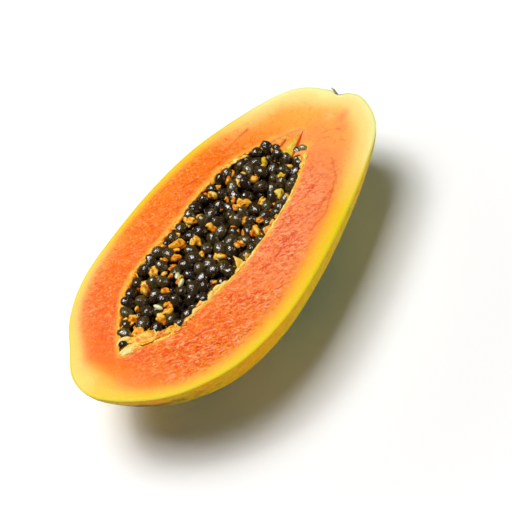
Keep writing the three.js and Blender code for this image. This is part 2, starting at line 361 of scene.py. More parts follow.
def rgb(red, green, blue):
    """A colour given as seen on screen, 0 to 255, turned into linear light."""
    shares = (channel / 255 for channel in (red, green, blue))
    linear = (s / 12.92 if s <= 0.04045 else ((s + 0.055) / 1.055) ** 2.4 for s in shares)
    return (*linear, 1.0)


class Nodes:
    """A material and short names for the nodes that it is built from."""

    def __init__(self, name):
        self.material = bpy.data.materials.new(name)
        self.material.use_nodes = True
        self.tree = self.material.node_tree
        self.shader = self.tree.nodes["Principled BSDF"]
        self.place = self.node("ShaderNodeTexCoord").outputs["Object"]

    def put(self, socket, value):
        if isinstance(value, bpy.types.NodeSocket):
            self.tree.links.new(value, socket)
        else:
            socket.default_value = value

    def node(self, kind, sockets=(), **settings):
        """A new node with its settings, and with values or links in its input sockets."""
        made = self.tree.nodes.new(kind)
        for key, value in settings.items():
            setattr(made, key, value)
        for key, value in dict(sockets).items():
            self.put(made.inputs[key], value)
        return made

    def value(self, name):
        return self.node("ShaderNodeAttribute", attribute_name=name).outputs["Fac"]

    def math(self, operation, *numbers):
        return self.node("ShaderNodeMath", enumerate(numbers), operation=operation).outputs[0]

    def times(self, *numbers):
        """Two or three numbers multiplied."""
        product = numbers[0]
        for number in numbers[1:]:
            product = self.math("MULTIPLY", product, number)
        return product

    def stirred(self, value, noise, share):
        """A value that noise moves up or down, by up to half a share."""
        return self.math("ADD", value, self.times(self.math("SUBTRACT", noise, 0.5), share))

    def range(self, value, low, high, start=0.0, end=1.0):
        made = self.node("ShaderNodeMapRange", enumerate((value, low, high, start, end)),
                         interpolation_type="SMOOTHSTEP")
        return made.outputs[0]

    def vector_math(self, operation, *vectors):
        return self.node("ShaderNodeVectorMath", enumerate(vectors), operation=operation).outputs[0]

    def warped(self, size, reach):
        """Places pushed about at random, by up to half a reach in mm."""
        wander = self.vector_math("SUBTRACT", self.noise(size, output="Color"), (0.5, 0.5, 0.5))
        push = self.node("ShaderNodeVectorMath", {0: wander, "Scale": reach / 1000}, operation="SCALE")
        return self.vector_math("ADD", self.place, push.outputs[0])

    def stretched(self, lengths, turn=0.0, places=None):
        """Places along axes turned from +X, on which features come out longer by these factors."""
        sockets = {"Vector": places or self.place, "Rotation": (0, 0, turn), "Scale": lengths}
        return self.node("ShaderNodeMapping", sockets, vector_type="TEXTURE").outputs[0]

    def noise(self, size, detail=2.0, roughness=0.5, distortion=0.0, vector=None, output="Fac"):
        """Noise with features of a size in mm."""
        sockets = {"Vector": vector or self.place, "Scale": 1000.0 / size, "Detail": detail,
                   "Roughness": roughness, "Distortion": distortion}
        return self.node("ShaderNodeTexNoise", sockets).outputs[output]

    def mix(self, factor, a, b):
        return self.node("ShaderNodeMix", {"Factor": factor, 6: a, 7: b}, data_type="RGBA").outputs[2]

    def layers(self, color, *tints):
        """A colour under others, each given as how much of it shows, then red, green and blue."""
        for share, *tint in tints:
            color = self.mix(share, color, rgb(*tint))
        return color

    def ramp(self, value, *stops):
        """Colours along a value, each given as its place, then red, green and blue."""
        made = self.node("ShaderNodeValToRGB", {"Fac": value})
        band = made.color_ramp
        for index, (place, *tint) in enumerate(stops):
            stop = band.elements[index] if index < 2 else band.elements.new(place)
            stop.position = place
            stop.color = rgb(*tint)
        return made.outputs["Color"]

    def bump(self, height, distance, below=None):
        """Surface relief of a height from 0 to 1, times a distance in mm, over relief below it."""
        sockets = {"Distance": distance / 1000, "Height": height}
        if below is not None:
            sockets["Normal"] = below
        return self.node("ShaderNodeBump", sockets).outputs[0]

    def finish(self, color, roughness, **sockets):
        """Fills the shader's sockets, named with _ for a space, and hands over the material."""
        for name, value in {"Base_Color": color, "Roughness": roughness, **sockets}.items():
            self.put(self.shader.inputs[name.replace("_", " ")], value)
        return self.material


def flesh_material():
    """Cut flesh: yellow-green at the skin, orange inside, with crinkled wet grain."""
    n = Nodes("papaya_flesh")
    grain, inner = n.value("grain"), n.value("inner")
    ripe = n.stirred(n.value("ripeness"), n.noise(8, 3, 0.6), 0.22)
    clouds = n.range(n.noise(7, 4, 0.65, 0.5), 0.45, 0.72)
    clusters = n.range(n.noise(3.0, 5, 0.75, 0.8), 0.51, 0.62)
    flecks = n.range(n.noise(1.4, 4, 0.7), 0.54, 0.64)
    places = n.stretched((GRAIN_STRETCH, 1.0, 1.0), GRAIN_ANGLE, n.warped(4.5, 3.2))
    strokes = n.noise(GRAIN_WIDTH, 2.5, 0.6, 0.0, places)
    crease_red_and_shade = n.range(strokes, 0.50, 0.36)
    painted_crest_highlight = n.range(strokes, 0.53, 0.68)
    lines = n.math("SUBTRACT", n.noise(2.2, 2.0, 0.55, 0.6, places), 0.5)
    threads = n.range(n.math("ABSOLUTE", lines), 0.024, 0.004)
    body = n.ramp(ripe, (0.00, 236, 204, 26), (0.05, 240, 202, 32), (0.20, 242, 194, 46),
                  (0.45, 248, 172, 46), (0.72, 244, 133, 18), (1.00, 243, 115, 2))
    color = n.layers(
        body,
        (n.value("blush"), 254, 178, 94),
        (n.value("cream"), 254, 234, 152),
        (n.value("lime"), 240, 244, 166),
        (n.value("coral"), 250, 145, 92),
        (n.value("deep"), 240, 96, 8),
        (n.times(clouds, ripe, 0.35), 253, 152, 56),
        (n.times(clusters, inner, 0.65), 240, 74, 2),
        (n.times(flecks, inner, 0.7), 255, 174, 92),
        (n.value("pale"), 250, 184, 70),
        (n.value("streak"), 216, 40, 10),
        # Darker red in the grain's creases: partly the flesh's own red, partly painted shade.
        (n.times(crease_red_and_shade, grain, 0.66), 222, 52, 6),
        (n.times(threads, grain, 0.85), 206, 34, 12),
        # Painted highlight: pale pink on the crests of the grain.
        (n.times(painted_crest_highlight, grain, 0.8), 255, 178, 134),
        (n.value("edge"), 206, 198, 16),
    )
    wetness = n.range(n.noise(1.6, 3), 0.40, 0.66, 0.26, 0.55)
    relief = n.bump(n.times(strokes, n.math("ADD", grain, 0.15)), 0.55)
    relief = n.bump(n.noise(0.6, 2), 0.07, relief)
    return n.finish(color, wetness, Normal=relief, Subsurface_Weight=0.12, Subsurface_Scale=0.003,
                    Subsurface_Radius=(1.0, 0.3, 0.05), Specular_IOR_Level=0.12)


def skin_material():
    """Waxy skin: gold by the cut, mottled with green lengthwise, with small brown flecks."""
    n = Nodes("papaya_skin")
    lengthwise = n.stretched((4.0, 1.0, 1.0))
    painted_shade_and_stains = n.value("painted_shade_and_stains")
    # The darkest greens come partly from painted shade on the skin's underside.
    green = n.stirred(n.value("green_and_underside_shade"), n.noise(16, 4, 0.6, 0.4, lengthwise), 1.6)
    fine = n.noise(3.5, 4, 0.6)
    flecks = n.range(n.noise(1.1, 1, 0.4), 0.70, 0.76)
    spots = n.range(n.noise(5, 4, 0.7, 0.6, lengthwise), 0.46, 0.60)
    body = n.ramp(green, (0.0, 244, 174, 0), (0.35, 226, 194, 4), (0.6, 170, 172, 12),
                  (1.0, 104, 132, 16))
    color = n.layers(
        body,
        (n.range(fine, 0.45, 0.75, 0.0, 0.4), 190, 132, 6),
        (n.times(flecks, 0.55), 96, 74, 24),
        (n.value("scar"), 120, 104, 58),
        # Painted shade darkens the skin brown towards the near side's tip; the brown spots on it are
        # stains.
        (n.times(n.math("POWER", painted_shade_and_stains, 2.5), 0.85), 84, 56, 0),
        (n.times(spots, painted_shade_and_stains, 0.8), 92, 74, 10),
    )
    wax = n.range(fine, 0.3, 0.8, 0.40, 0.56)
    relief = n.bump(fine, 0.06, n.bump(n.noise(7, 3), 0.25))
    return n.finish(color, wax, Normal=relief, Specular_IOR_Level=0.08, Subsurface_Weight=0.03,
                    Subsurface_Scale=0.003, Subsurface_Radius=(1.0, 0.7, 0.1))


def placenta_material():
    """Wet placenta: orange where it grows from the flesh, yellow and cream at its torn edges."""
    n = Nodes("papaya_placenta")
    cloud = n.noise(1.7, 3, 0.65, 0.6)
    peach = n.value("peach")
    body = n.ramp(n.stirred(n.value("tint"), cloud, 1.3), (0.0, 188, 62, 4), (0.25, 226, 112, 8),
                  (0.5, 242, 158, 20), (0.75, 250, 200, 70), (1.0, 250, 226, 142))
    color = n.layers(body, (peach, 252, 158, 84), (n.value("olive"), 218, 188, 22),
                     (n.value("slit"), 204, 22, 2))
    wetness = n.range(n.noise(1.5), 0.3, 0.7, 0.20, 0.42)
    wetness = n.math("MAXIMUM", wetness, n.times(peach, 0.65))
    relief = n.bump(n.noise(0.7, 2), 0.08, n.bump(cloud, 0.4))
    return n.finish(color, wetness, Normal=relief, Subsurface_Weight=0.05, Subsurface_Scale=0.002,
                    Subsurface_Radius=(1.0, 0.5, 0.12), Specular_IOR_Level=0.30)


def seed_material():
    """Black-olive seeds in a clear wet coat."""
    n = Nodes("papaya_seed")
    warts = n.noise(0.9, 3, 0.6, 0.5)
    color = n.ramp(n.stirred(n.value("shade"), warts, 0.9), (0.0, 34, 18, 5), (0.4, 64, 48, 18),
                   (0.75, 96, 80, 34), (1.0, 130, 117, 62))
    coat = n.bump(n.noise(1.9, 2.0, 0.55, 0.8), 0.45)
    return n.finish(color, 0.6, Normal=n.bump(warts, 0.30), Specular_IOR_Level=0.05,
                    Coat_Weight=1.0, Coat_Roughness=0.04, Coat_IOR=1.75, Coat_Normal=coat)


def pale_seed_material():
    n = Nodes("papaya_pale_seed")
    color = n.ramp(n.noise(1.6, 2), (0.3, 206, 206, 132), (0.7, 238, 236, 190))
    return n.finish(color, 0.25, Normal=n.bump(n.noise(0.8, 2), 0.12), Subsurface_Weight=0.3,
                    Subsurface_Scale=0.002, Subsurface_Radius=(1.0, 0.9, 0.4))


def fibre_material():
    n = Nodes("papaya_dry_fibre")
    color = n.ramp(n.noise(0.8, 2), (0.3, 88, 84, 68), (0.7, 168, 162, 138))
    return n.finish(color, 0.7, Normal=n.bump(n.noise(0.4), 0.05))

# ---------------- flesh and skin

STATION_COUNT = 380
SKIN_ROWS = 84
FACE_ROWS = 60
FACE_CROWDING = 1.2  # above 1, the face's rows lie closer together towards the skin
WALL_ROWS = 9
WALL_CLIMB = (0.12, 0.985)  # from near the bottom to the mouth, as shares of a quarter turn
EDGE_INSET = 0.3  # the blunt edge between cut face and skin
EDGE_DROP = 0.3
SKIN_BUMPS = [(0.35, 22, 31), (0.10, 6, 32)]
SKIN_BUMP_SHARE = 0.8  # how much of the bumps the lowest skin shows
SKIN_LIFT = 0.4  # keeps the bumps inside the part's box


def skin_grid(steps):
    """Skin points: one row for each step from tip to stem end, from the far rim under to the near."""
    far = outline_points(FACE, steps / 2)
    near = outline_points(FACE, 1 - steps / 2)
    middle = ((far + near) / 2)[:, None]
    half = ((far - near) / 2)[:, None]
    angle = np.linspace(0, math.pi, SKIN_ROWS + 1)[None, :]
    girth = np.sin(math.pi * steps)[:, None]
    lobes = np.cos(LOBE_COUNT * angle - LOBE_TURN)
    swell = 1 + LOBE_HEIGHT / FACE_HALF_WIDTH * lobes * np.sin(angle) * girth
    flat = middle + half * (np.cos(angle) * swell)[..., None]
    thin = 1 - TIP_THINNING * (1 - steps[:, None]) ** 3
    depth = np.linalg.norm(half, axis=2) * SECTION_DEPTH / FACE_HALF_WIDTH * thin
    points = np.concatenate([flat, (-depth * np.sin(angle) * swell)[..., None]], axis=2)
    bumps = rough(points.reshape(-1, 3), SKIN_BUMPS).reshape(points.shape[:2])
    points[..., 2] += (SKIN_LIFT - bumps) * np.sin(angle) * SKIN_BUMP_SHARE
    return points


STEM_SCAR = np.array([*FACE["stem"], 0.0])


def press_scar(points):
    """Pushes the stem scar's hollow into points, and keeps the flat spot that the half rests on."""
    scar = np.linalg.norm(points - STEM_SCAR, axis=1) / STEM_SCAR_RADIUS
    points[:, 0] -= STEM_SCAR_DEPTH * (1 + np.cos(math.pi * np.minimum(scar, 1))) / 2
    points[:, 2] = np.maximum(points[:, 2], -REST_DEPTH)
    return points


# Width of the unripe band inside the skin, in mm, at x along the far and the near edge.
FAR_BAND = ([-111, -100, -84, 0, 60, 85, 107], [24, 15, 9.5, 6.5, 9, 14, 24])
NEAR_BAND = ([-111, -102, -95, -83, -60, -30, 20, 60, 85, 107],
             [24, 14, 10, 9.5, 12, 14, 17, 18, 19, 26])

# Red veins that show in the cut flesh: points, half width and strength.
VEINS = [
    ([(66, -20.5), (58.6, -27.6), (52.9, -31.8), (42.9, -31.8), (30.9, -33.3), (22.1, -30.8),
      (12.6, -30.8)], 0.45, 0.42),
    ([(85.5, -13), (83, -8.8), (78.5, -6.2)], 0.35, 0.35),
    ([(79.7, -20.1), (78.6, -11.3), (73.2, -7)], 0.35, 0.3),
    ([(53.6, -30.1), (43.5, -34), (33.4, -37.3), (20.1, -36.7)], 0.4, 0.5),
    ([(33.2, -31.3), (24.8, -28.4), (16.4, -27.4)], 0.4, 0.55),
    ([(41, -32.1), (33, -28.5), (25.9, -26.7), (14.2, -22.8)], 0.5, 0.6),
    ([(14.3, -29.9), (8.1, -29.1), (-2.9, -30.2), (-7.5, -29.5), (-13.3, -27.9)], 0.45, 0.85),
    ([(10, -27.6), (2, -27.2), (-5, -27.9)], 0.3, 0.6),
    ([(22.1, -20.8), (11.7, -22.1)], 0.4, 0.6),
    ([(62.7, 32.4), (48.5, 34.2), (36.4, 31.9), (20.5, 36.6), (12.2, 39.7)], 0.5, 0.5),
    ([(-74.5, 23), (-79, 21.3), (-85, 17.7)], 0.8, 0.35),
    ([(-68.1, -20.1), (-60, -22), (-52, -24)], 0.9, 0.5),
]

# A crease that runs on from the cavity's tip.
TIP_CREASE = [(-84.5, 4.2), (-88.5, 4.9)]
TIP_CREASE_HALF_WIDTH = 0.5

# Patches on the cut face: middle, reach along x and y, and strength.
TIP_PATCHES = [((-99, 5), (17, 14), 12)]  # widen the unripe band, in mm
RIPE_PATCHES = [((94.5, -9.5), (9, 4), 0.95), ((88, -14), (8, 4), 0.6)]
CREAM_PATCHES = [((104, 8), (5, 7), 0.25), ((91.5, -3), (6, 5), 0.35)]
DEEP_PATCHES = [((-82, -4), (10, 9), 0.6)]
TORN_PATCHES = [((67.5, -4), (7, 4), 1), ((56, -8.6), (8, 3.5), 1), ((45, -13.5), (7, 3), 1)]


def near_line(points, line):
    """Distance of points from a line of points, all on the cut face."""
    best = np.full(len(points), 1e9)
    for start, end in zip(np.array(line[:-1], float), np.array(line[1:], float)):
        step = end - start
        along = np.clip((points - start) @ step / np.sum(step ** 2), 0, 1)
        best = np.minimum(best, np.linalg.norm(points - start - along[:, None] * step, axis=1))
    return best


def ridge(points, line, half_width):
    """1 on a line of points on the cut face, fading to 0 on both sides."""
    return np.exp(-(near_line(points, line) / half_width) ** 2)


def patches(points, table):
    """Soft patches: each has its strength in its middle, and fades to 0 at its reach."""
    total = 0
    for middle, reach, strength in table:
        away = np.linalg.norm((points - middle) / reach, axis=1)
        total = total + strength * (1 - ease(0, 1, away))
    return total


def flesh_grain(flat):
    """Coarse wavy strokes across the cut face, from about -1 to 1."""
    moved = flat + np.column_stack([noise(flat, 4.5, 53), noise(flat, 4.5, 54)]) * 1.5
    along = moved @ (math.cos(GRAIN_ANGLE), math.sin(GRAIN_ANGLE)) / GRAIN_STRETCH
    across = moved @ (-math.sin(GRAIN_ANGLE), math.cos(GRAIN_ANGLE))
    return noise(np.column_stack([along, across]), 1.5 * GRAIN_WIDTH, 55)


def vein_marks(flat):
    """Red veins with ragged edges, each up to its strength."""
    wander = flat + np.column_stack([noise(flat, 5, 42), noise(flat, 5, 43)]) * 0.9
    ragged = np.maximum(0.15, 1 + 1.3 * noise(flat, 2.5, 44))
    marks = np.zeros(len(flat))
    for line, half_width, strength in VEINS:
        marks = np.maximum(marks, strength * ridge(wander, line, half_width * ragged))
    return marks


def flesh_values(flat, rim_distance, mouth_distance):
    """How ripe, red and grained the cut face is at points on it."""
    x, y = flat[:, 0], flat[:, 1]
    # Where a point lies: the far side, the stem end, the tip, and the middle of the length.
    far = ease(-6, 6, y - np.interp(x, (-111, 107), (5, 3)))
    stem = ease(32, 104, x + 4 * noise(flat, 12, 46))
    tip = 1 - ease(-104, -72, x)
    middle = ease(-98, -70, x) * (1 - ease(35, 75, x))

    # The unripe band under the skin, and the ripe flesh inside it.
    band = far * np.interp(x, *FAR_BAND) + (1 - far) * np.interp(x, *NEAR_BAND)
    band = band + patches(flat, TIP_PATCHES)
    inner = ease(0.3, 1.0, rim_distance / band)
    outer = 1 - ease(0.15, 0.8, rim_distance / 26)
    ripeness = 1 - np.exp(-1.8 * (rim_distance / band) ** 1.5)
    ripeness = ripeness * (1 - 0.62 * stem) + 0.05 * noise(flat, 7, 41)
    ripe_patches = patches(flat, RIPE_PATCHES)

    pale_rim = 0.32 * far * (1 - ease(-60, -20, x)) * (1 - ease(5, 15, rim_distance))
    pale_ends = (0.78 * stem + 0.08 * tip * ease(-25, -5, y)) * outer
    green = 0.35 + 0.45 * ease(-40, 30, x) - 0.45 * ease(60, 95, x) + 0.25 * tip
    grain = (0.4 * far + (1 - far)) * middle * inner * ease(0.3, 3, mouth_distance)
    grain *= 0.4 + 0.6 * ease(-0.7, 0.3, noise(flat, 9, 47))
    deep = 0.55 * far * (1 - ease(-75, -20, x)) * inner

    # Pale torn tissue along the cavity's edge.
    edge_place = mouth_distance + 1.2 * noise(flat, 4, 45)
    torn = patches(flat, TORN_PATCHES) * ease(-0.8, 0.2, noise(flat, 2.0, 48))
    torn = torn + 0.8 * ridge(flat, TIP_CREASE, TIP_CREASE_HALF_WIDTH)
    return {
        "ripeness": np.clip(ripeness + 0.35 * ripe_patches, 0, 1),
        "cream": pale_ends + pale_rim + patches(flat, CREAM_PATCHES),
        "blush": 0.55 * stem,
        "edge": green * (1 - ease(0.1, 1.0, rim_distance)),
        "lime": 0.75 * ease(60, 95, x) * (1 - ease(0.8, 6, rim_distance)),
        "inner": inner * (0.35 + 0.65 * middle),
        "coral": (1 - far) * ease(-60, 20, x) * (1 - 0.8 * stem) * inner + 0.6 * ripe_patches,
        "deep": deep + patches(flat, DEEP_PATCHES),
        "grain": grain,
        "streak": vein_marks(flat),
        "pale": 0.8 * np.maximum(1 - ease(0.3, 2.4 + 1.4 * far, edge_place), torn),
    }


FACE_SWELL = [(0.22, 14, 51), (0.10, 5, 52)]


def flesh_relief(flat, rim_distance, mouth_distance, grain):
    """Height of the cut face: a slow swell and crinkled wet grain."""
    inside = ease(0, 3, rim_distance)
    swell = rough(flat, FACE_SWELL)
    lip = -0.12 * (1 - ease(0, 1.0, mouth_distance))
    blunt = -0.12 * (1 - ease(0, 0.8, rim_distance))
    return inside * (swell + 0.2 * flesh_grain(flat) * (0.1 + 0.9 * grain)) + lip + blunt


def cut_rings(turns):
    """Rings of the cut face from the cavity's mouth out to the skin, with their values."""
    face = outline_points(FACE, turns)
    mouth = mouth_ring(turns)
    outward_step = face - mouth
    width = np.linalg.norm(outward_step, axis=1)
    inner_rim = face - outward_step / width[:, None] * EDGE_INSET
    shares = 1 - (1 - np.linspace(0, 1, FACE_ROWS + 1)) ** FACE_CROWDING
    flat = (mouth + (inner_rim - mouth) * shares[:, None, None]).reshape(-1, 2)
    rim_distance = ((1 - shares)[:, None] * width).ravel()
    mouth_distance = (shares[:, None] * width).ravel()
    values = flesh_values(flat, rim_distance, mouth_distance)
    height = flesh_relief(flat, rim_distance, mouth_distance, values["grain"])
    return np.column_stack([flat, height]), values


def wall_rings(turns):
    """Rings of the cavity's wall from its bottom up to just below the mouth."""
    rings = []
    for climb in np.linspace(*WALL_CLIMB, WALL_ROWS) * math.pi / 2:
        reach = MOUTH_CENTRE + (mouth_ring(turns) - MOUTH_CENTRE) * math.sin(climb)
        depth = np.full(len(turns), -CAVITY_DEPTH * math.cos(climb))
        rings.append(np.column_stack([reach, depth]))
    return np.concatenate(rings)


def skin_faces(ring_start, grid_start, stations):
    """Quads over the skin grid between the rim ring's far and near half."""
    columns = 2 * stations

    def corner(station, row):
        if row == 0 or station in (0, stations):
            return ring_start + station
        if row == SKIN_ROWS:
            return ring_start + columns - station
        return grid_start + (station - 1) * (SKIN_ROWS - 1) + row - 1

    faces = []
    for station in range(stations):
        for row in range(SKIN_ROWS):
            loop = [corner(station, row), corner(station, row + 1),
                    corner(station + 1, row + 1), corner(station + 1, row)]
            faces.append(tuple(dict.fromkeys(loop)))
    return faces


def skin_values(points):
    """Green patches, the grey stem scar, brown stains at the near tip, and painted shade below and at
    that tip.
    """
    x, y, z = points.T
    stem = ease(55, 110, x)
    tip = 1 - ease(-112, -95, x)
    under = ease(5, 32, -z)
    # The skin turns greener and darker towards its underside: partly its own green, partly painted
    # shade.
    green = 0.02 + 0.22 * ease(-60, 5, x) + 0.2 * stem + 0.15 * tip + 0.42 * under
    green = green + 0.2 * noise(points * (0.35, 1, 1), 18, 61)
    scar = np.linalg.norm(points - STEM_SCAR, axis=1) + noise(points, 2, 62)
    # Painted shade: the near side's skin darkens towards the tip, most at the tip's underside; brown
    # stain spots share this mask.
    painted_shade_and_stains = (1 - ease(-90, -40, x)) * (1 - ease(-10, 10, y)) * ease(1, 8, -z)
    return {
        "green_and_underside_shade": np.clip(green, 0, 1),
        "scar": 1 - ease(3.5, 6.5, scar),
        "painted_shade_and_stains": painted_shade_and_stains * (0.5 + 0.5 * (1 - ease(-100, -78, x))),
    }


WALL_RIPENESS = 0.8
WALL_PALENESS = 0.3


def make_flesh(flesh_look, skin_look):
    steps = even_steps(STATION_COUNT)
    turns = np.concatenate([steps / 2, 1 - steps[-2:0:-1] / 2])
    columns = len(turns)
    wall = wall_rings(turns)
    cut, cut_values = cut_rings(turns)
    rim = np.column_stack([outline_points(FACE, turns), np.full(columns, -EDGE_DROP)])
    skin = skin_grid(steps)[1:-1, 1:-1].reshape(-1, 3)
    bottom = np.array([[*MOUTH_CENTRE, -CAVITY_DEPTH]])

    points = np.concatenate([wall, cut, rim, skin, bottom])
    rim_start = len(wall) + len(cut)
    skin_marks = skin_values(points[rim_start:])
    values = {name: np.zeros(len(points)) for name in (*cut_values, *skin_marks)}
    for name, value in cut_values.items():
        values[name][len(wall):rim_start] = value
    for name, value in skin_marks.items():
        values[name][rim_start:] = value
    values["ripeness"][:len(wall)] = WALL_RIPENESS
    values["pale"][:len(wall)] = WALL_PALENESS

    faces = ring_faces(0, columns, WALL_ROWS + FACE_ROWS + 2)
    faces += fan_faces(len(points) - 1, 0, columns)
    flesh_count = len(faces)
    faces += skin_faces(rim_start, rim_start + columns, STATION_COUNT)
    face_material = np.zeros(len(faces), int)
    face_material[flesh_count:] = 1

    shape = Shape(*values)
    shape.add(press_scar(points), faces, **values)
    looks = [flesh_look, skin_look]
    piece = shape.make("papaya_flesh", looks, face_material, sharp=math.radians(50))
    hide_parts("flesh_half")
    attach(piece, "root")

# ---------------- seeds

SEED_CROWN = 3.7  # from a seed's middle to its free end
SEED_ROOT = 4.4  # from a seed's middle to its rooted end
SEED_GIRTH = (0.96, 0.88)  # its half widths, as shares of SEED_RADIUS
SEED_PINCH = 0.30  # how much narrower it is at its root
SEED_KNOBS = [(0.22, 1.5, 71), (0.20, 3.2, 72)]
KNOB_PLACES = 17.3  # how far apart in the noise two seeds' knobs are read
SEED_SIZE = 1.05  # of the top layer, against the source's seeds
SEED_SIZE_SPREAD = 0.20
SEED_DROP = 0.4  # how much lower the larger seeds lie, to stay inside the part's box
TONGUE_SEED_SIZE = 0.82
TONGUE_SEED_LEAN = 1.2

LOWER_SIZE = 0.95  # of the second layer, which shows in the gaps of the first
LOWER_SPACING = 5.8
LOWER_ROW_SPACING = 0.87  # the rows' spacing, as a share of the spacing in a row
LOWER_SHIFT = (2.9, 1.6)  # of the second layer's middle from the mouth's
LOWER_LEVEL = -7.0
LOWER_INSET = 3.6

BED_INSET = GAP + LINING_THICKNESS + GAP
BED_COLUMNS = 120
BED_ROWS = 8


def inside_mouth(x, y, inset):
    """Whether a place lies inside the mouth drawn in by an inset."""
    px, py = MOUTH_CENTRE + (np.array([x, y]) - MOUTH_CENTRE) / (1 - inset / MOUTH_HALF)
    inside = False
    for a, b in zip(MOUTH_OUTLINE, np.roll(MOUTH_OUTLINE, -1, axis=0)):
        if (a[1] > py) != (b[1] > py) and px < a[0] + (b[0] - a[0]) * (py - a[1]) / (b[1] - a[1]):
            inside = not inside
    return inside


def clear_of_placenta(x, y):
    if any(math.hypot(lump[0] - x, lump[1] - y) <= lump[2] + LUMP_CLEARANCE for lump in LUMPS):
        return False
    return x < TONGUE_START[0] or abs(y - TONGUE_START[1]) > TONGUE_HALF_WIDTH + LUMP_CLEARANCE


def random_place(draw):
    """A random place in the box round the cavity's mouth."""
    x = MOUTH_CENTRE[0] + MOUTH_HALF[0] * (2 * next(draw) - 1)
    y = MOUTH_CENTRE[1] + MOUTH_HALF[1] * (2 * next(draw) - 1)
    return x, y


def seed_places():
    """The top layer's places, as in the source: a row along the wall, then wherever there is room."""
    draw = random_numbers(PLACE_DRAW)
    clearance = BED_INSET + SEED_WALL_SHARE * SEED_RADIUS
    places = []

    def try_place(x, y):
        apart = all(math.hypot(px - x, py - y) > SEED_SPACING for px, py in places)
        if apart and inside_mouth(x, y, clearance) and clear_of_placenta(x, y):
            places.append((x, y))

    for edge in outline_points(MOUTH, np.arange(WALL_STEPS) / WALL_STEPS):
        try_place(*drawn_in(edge, clearance + next(draw)))
    for _ in range(SEED_THROWS):
        try_place(*random_place(draw))
    return places


def turned(points, lean, heading, place):
    """Points leant over and turned about their origin, and moved to a place."""
    turn = Matrix.Rotation(heading, 3, "Z") @ Matrix.Rotation(lean, 3, "X")
    return points @ np.array(turn).T + np.array(place)


def add_seed(shape, body, place, lean, heading, size, shade, key):
    """One egg-shaped seed with a knobbly coat, drawn out to a blunt point at its root."""
    unit, faces = body
    length = np.where(unit[:, 2] < 0, SEED_ROOT, SEED_CROWN)
    pinch = 1 - SEED_PINCH * np.clip(-unit[:, 2], 0, 1) ** 2
    wide, narrow = (SEED_RADIUS * share * pinch for share in SEED_GIRTH)
    egg = unit * np.column_stack([wide, narrow, length]) * size
    knobs = rough(egg + key * KNOB_PLACES, SEED_KNOBS)
    egg *= (1 + knobs / SEED_RADIUS)[:, None]
    shape.add(turned(egg, lean, heading, place), faces, shade=shade)


def bed_body():
    """The seeds' dark underside, partly painted shade: it fills the cavity below what can be seen."""
    edge = mouth_ring(np.linspace(0, 1, BED_COLUMNS, endpoint=False), BED_INSET)
    rings = []
    for climb in np.linspace(0.1, 1.15, BED_ROWS):
        flat = MOUTH_CENTRE + (edge - MOUTH_CENTRE) * math.sin(climb)
        top = -(CAVITY_DEPTH - BED_INSET) * math.cos(climb)
        rings.append(np.column_stack([flat, np.full(BED_COLUMNS, top)]))
    for share in (0.93, 0.8, 0.6, 0.4, 0.2):
        inner = MOUTH_CENTRE + (flat - MOUTH_CENTRE) * share
        rings.append(np.column_stack([inner, top + 1.2 + 0.8 * noise(inner, 5, 73)]))
    return closed_rings(rings)


def add_top_layer(shape, spare):
    draw = random_numbers(SEED_DRAW)
    for key, (x, y) in enumerate(seed_places()):
        lean = SEED_LEANS[0] + (SEED_LEANS[1] - SEED_LEANS[0]) * next(draw)
        heading = 2 * math.pi * next(draw)
        level = SEED_LEVEL - SEED_DROP + heap_rise(y) + SEED_LEVEL_SPREAD * (2 * next(draw) - 1)
        size = SEED_SIZE + SEED_SIZE_SPREAD * next(spare)
        shade = 0.05 + 0.5 * next(spare)
        add_seed(shape, FINE_BALL, (x, y, level), lean, heading, size, shade, key)
    for key, (*place, shade) in enumerate(TONGUE_SEEDS):
        heading = 2.1 * key
        add_seed(shape, FINE_BALL, place, TONGUE_SEED_LEAN, heading, TONGUE_SEED_SIZE, shade, 300 + key)


def add_lower_layer(shape, spare):
    """Rows of seeds shifted about at random, cut off at the cavity's wall."""
    middle = MOUTH_CENTRE + LOWER_SHIFT
    for row in range(-5, 6):
        for column in range(-15, 16):
            x = middle[0] + (column + 0.5 * (row % 2)) * LOWER_SPACING + next(spare) - 0.5
            y = middle[1] + row * LOWER_SPACING * LOWER_ROW_SPACING + next(spare) - 0.5
            lean, heading, shade = 1.4 * next(spare), 2 * math.pi * next(spare), 0.4 * next(spare)
            place = (x, y, LOWER_LEVEL + next(spare))
            if inside_mouth(x, y, LOWER_INSET):
                key = 400 + row * 31 + column
                add_seed(shape, COARSE_BALL, place, lean, heading, LOWER_SIZE, shade, key)


def make_seeds(look):
    shape = Shape("shade")
    spare = random_numbers(LOOK_DRAW)
    add_top_layer(shape, spare)
    add_lower_layer(shape, spare)
    # The bed takes the darkest seed tone: the seed mass below, and painted shade in the gaps between
    # the seeds.
    shape.add(*bed_body(), shade=0.0)
    piece = shape.make("seeds_heap", [look])
    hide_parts("seeds")
    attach(piece, "root")

# ---------------- placenta

LINING_COLUMNS = 900
LINING_TEARS = [(0.5, 2.2, 81), (0.5, 1.0, 82)]

# The lining's rows, from its foot in the flesh over the torn edge and down the wall: how far each
# is drawn in from the mouth, what widens that, its height, its share of the edge's height, and its
# tint.
LINING_ROWS = [
    (-0.5, "none", -9, 0, 0.3),
    (-0.7, "none", -4, 0, 0.4),
    (-0.9, "none", -0.9, 0, 0.6),
    (-1.8, "lap", -0.5, 0, 0.66),
    (-1.0, "lap", -0.05, 0.4, 0.72),
    (-0.3, "lap", 0, 0.8, 0.95),
    (0.25, "reach", 0, 1, 1.0),
    (0.6, "reach", -0.15, 0.9, 0.8),
    (1.0, "reach", -0.7, 0.4, 0.5),
    (1.1, "reach", -2.0, 0, 0.4),
    (1.0, "none", -9, 0, 0.3),
]


def rim_height(turn):
    """How far the placenta's torn edge stands up: most on the near side."""
    near = np.maximum(0, -np.sin(2 * math.pi * turn))
    ripple = 0.6 + 0.4 * np.sin(97 * turn) * np.sin(41 * turn + 1)
    return 0.2 + LINING_RISE * (LINING_RISE_FAR + (1 - LINING_RISE_FAR) * near) * ripple


